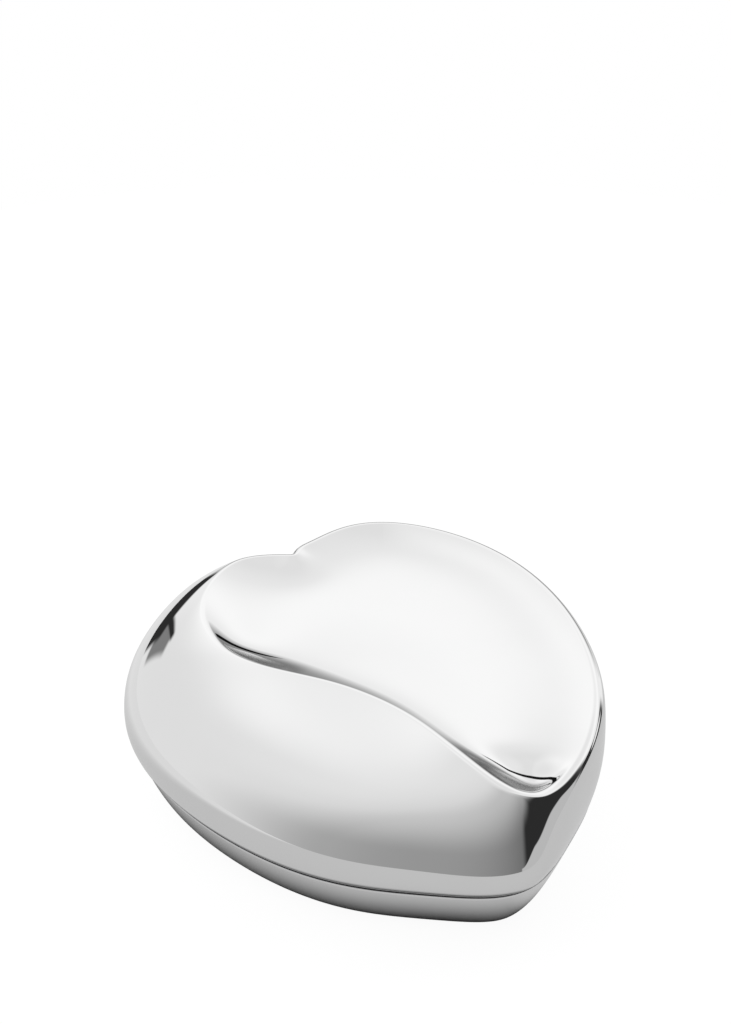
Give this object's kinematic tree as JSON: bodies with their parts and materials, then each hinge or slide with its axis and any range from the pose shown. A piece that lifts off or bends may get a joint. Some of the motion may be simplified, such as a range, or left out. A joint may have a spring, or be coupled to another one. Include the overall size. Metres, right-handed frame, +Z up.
{
  "type": "heart-shaped bonbonniere",
  "caption": "Heart-shaped bonbonniere of mirror-polished steel: a shallow bowl with a locating collar, and a lift-off lid whose dished top is edged by an S-shaped crest.",
  "frame": {"origin": "middle of the footprint's box, on the table the foot rests on", "axes": "+Z up, +Y towards the notch between the lobes, -Y towards the tip, +X towards the right wall that carries the rim"},
  "size_m": [0.1329, 0.162, 0.0478],
  "materials": {
    "polished_steel": "mirror-polished stainless steel",
    "satin_steel": "satin stainless steel"
  },
  "bodies": {
    "base": {"base_bowl": "polished_steel", "base_collar": "satin_steel"},
    "lid": {"lid_shell": "polished_steel", "lid_seat_ring": "satin_steel"}
  },
  "joints": [
    {"name": "lid_lift", "type": "slide", "parent": "base", "child": "lid", "axis": [0, 0, 1], "range_m": [0, 0.08]}
  ]
}
